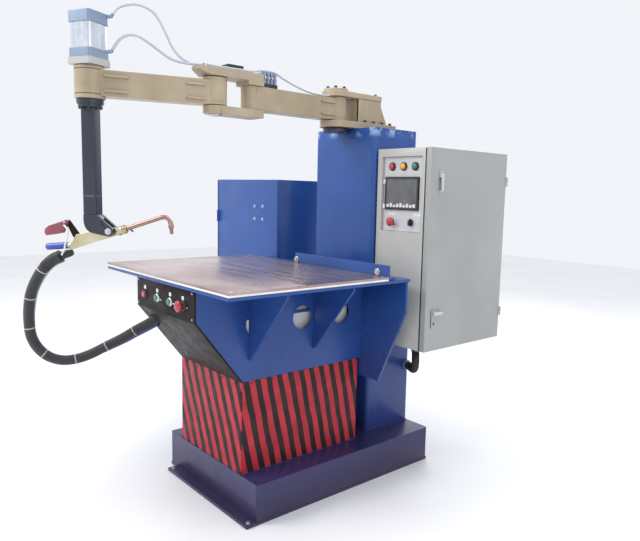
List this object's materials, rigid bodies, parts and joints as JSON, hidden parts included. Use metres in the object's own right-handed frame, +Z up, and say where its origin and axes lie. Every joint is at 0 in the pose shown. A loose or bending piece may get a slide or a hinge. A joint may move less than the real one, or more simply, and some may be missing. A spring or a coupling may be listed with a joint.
{
  "type": "platform spot welding machine",
  "caption": "Platform resistance spot welder: copper work table on a pedestal, column with a two-link swing arm, air-driven ram and hanging welding gun, side control cabinet.",
  "frame": {"origin": "centre of the plinth at floor level", "axes": "+Z up, the operator stands on the -Y side, the control cabinet is on the +X side"},
  "size_m": [1.462, 1.6893, 1.7564],
  "materials": {
    "blue_enamel": "gloss",
    "hazard_stripe": "satin",
    "gold_enamel": "gloss",
    "cabinet_paint": "satin",
    "black_enamel": "gloss",
    "black_plastic": "satin",
    "black_rubber": "matte",
    "blue_rubber": "satin",
    "clear_tube": "gloss",
    "copper": "brushed",
    "brass": "satin",
    "yellow_zinc": "satin",
    "bright_steel": "satin",
    "cap_alloy": "satin",
    "insulation_board": "matte",
    "red_plastic": "gloss",
    "green_plastic": "gloss"
  },
  "bodies": {
    "frame": {"base_plate": "blue_enamel", "plinth": "blue_enamel", "pedestal_frame": "blue_enamel", "front_stripe_cover": "hazard_stripe", "right_stripe_cover": "hazard_stripe", "left_stripe_cover": "hazard_stripe", "console_side_right": "blue_enamel", "console_side_left": "blue_enamel", "console_front_panel": "black_enamel", "rear_support_plate": "blue_enamel", "table_bed": "blue_enamel", "table_insulation": "insulation_board", "copper_table": "copper", "table_stop_rail": "blue_enamel", "transformer_core": "bright_steel", "transformer_coil": "copper", "output_bar": "copper", "column": "blue_enamel", "cooler_housing": "blue_enamel", "cabinet_shell": "cabinet_paint", "control_panel": "cabinet_paint", "weld_controller": "black_plastic", "cabinet_conduit": "black_rubber", "arm_bracket": "gold_enamel", "arm_upper_plate": "gold_enamel", "pivot_pin": "black_enamel", "weld_cable": "black_rubber", "water_hose": "blue_rubber", "trigger_lead": "clear_tube"},
    "link_1": {"arm_link_1": "gold_enamel", "elbow_fork_upper": "gold_enamel", "elbow_pin": "bright_steel", "valve_block": "black_plastic", "relay_box": "black_plastic"},
    "link_2": {"arm_link_2": "gold_enamel", "air_hose_upper": "clear_tube", "air_hose_lower": "clear_tube"},
    "head": {"cylinder_mount": "gold_enamel", "guide_collar": "black_enamel", "cylinder_lower_cap": "cap_alloy", "cylinder_barrel": "bright_steel", "cylinder_top_cap": "cap_alloy"},
    "ram": {"piston_rod": "bright_steel", "ram_bar": "black_enamel", "ram_foot": "black_enamel"},
    "gun": {"gun_plate": "yellow_zinc", "electrode_clamp": "brass", "electrode_arm": "copper", "switch_bracket": "black_enamel", "gun_grip": "blue_rubber"},
    "trigger": {"trigger": "red_plastic"},
    "door": {"cabinet_door": "cabinet_paint"},
    "door_handle": {"door_handle": "black_plastic"},
    "door_lock": {"door_lock": "black_plastic"},
    "button_red": {"button_red": "red_plastic"},
    "button_green_left": {"button_green_left": "green_plastic"},
    "button_green_right": {"button_green_right": "green_plastic"},
    "stop_mushroom": {"stop_mushroom": "red_plastic"},
    "cabinet_stop": {"cabinet_stop_button": "red_plastic"},
    "selector": {"selector_knob": "black_plastic"}
  },
  "joints": [
    {"name": "arm_swing", "type": "hinge", "parent": "frame", "child": "link_1", "pos_m": [0.015, 0.138, 1.485], "axis": [0, 0, 1], "range_deg": [-35, 70], "deforming": ["weld_cable", "water_hose", "trigger_lead"]},
    {"name": "elbow_swing", "type": "hinge", "parent": "link_1", "child": "link_2", "pos_m": [0.016, -0.428, 1.485], "axis": [0, 0, 1], "range_deg": [-60, 100], "deforming": ["air_hose_upper", "air_hose_lower"]},
    {"name": "head_swivel", "type": "hinge", "parent": "link_2", "child": "head", "pos_m": [-0.11985, -0.81378, 1.485], "axis": [0, 0, 1], "range_deg": [-80, 80]},
    {"name": "ram_slide", "type": "slide", "parent": "head", "child": "ram", "axis": [0, 0, -1], "range_m": [0, 0.05]},
    {"name": "gun_tilt", "type": "hinge", "parent": "ram", "child": "gun", "pos_m": [-0.07006, -0.772, 1.001], "axis": [-0.6428, 0.766, 0], "range_deg": [0, 10]},
    {"name": "trigger_press", "type": "hinge", "parent": "gun", "child": "trigger", "pos_m": [-0.19722, -0.8787, 1.027], "axis": [0.6428, -0.766, 0], "range_deg": [0, 12], "stiffness_Nm_per_rad": 1, "springref_deg": -8.59},
    {"name": "door_swing", "type": "hinge", "parent": "frame", "child": "door", "pos_m": [0.485, 0.69, 0.936], "axis": [0, 0, 1], "range_deg": [0, 110]},
    {"name": "door_handle_turn", "type": "hinge", "parent": "door", "child": "door_handle", "pos_m": [0.49, 0.261, 1.222], "axis": [1, 0, 0], "range_deg": [0, 90]},
    {"name": "door_lock_turn", "type": "hinge", "parent": "door", "child": "door_lock", "pos_m": [0.49, 0.251, 0.696], "axis": [1, 0, 0], "range_deg": [0, 90]},
    {"name": "button_red_press", "type": "slide", "parent": "frame", "child": "button_red", "axis": [0, 1, 0], "range_m": [0, 0.004], "stiffness_N_per_m": 600, "springref_m": -0.003},
    {"name": "button_green_left_press", "type": "slide", "parent": "frame", "child": "button_green_left", "axis": [0, 1, 0], "range_m": [0, 0.004], "stiffness_N_per_m": 600, "springref_m": -0.003},
    {"name": "button_green_right_press", "type": "slide", "parent": "frame", "child": "button_green_right", "axis": [0, 1, 0], "range_m": [0, 0.004], "stiffness_N_per_m": 600, "springref_m": -0.003},
    {"name": "stop_mushroom_press", "type": "slide", "parent": "frame", "child": "stop_mushroom", "axis": [0, 1, 0], "range_m": [0, 0.005]},
    {"name": "cabinet_stop_press", "type": "slide", "parent": "frame", "child": "cabinet_stop", "axis": [0, 1, 0], "range_m": [0, 0.005]},
    {"name": "selector_turn", "type": "hinge", "parent": "frame", "child": "selector", "pos_m": [0.386, 0.21, 1.041], "axis": [0, 1, 0], "range_deg": [-45, 45]}
  ]
}
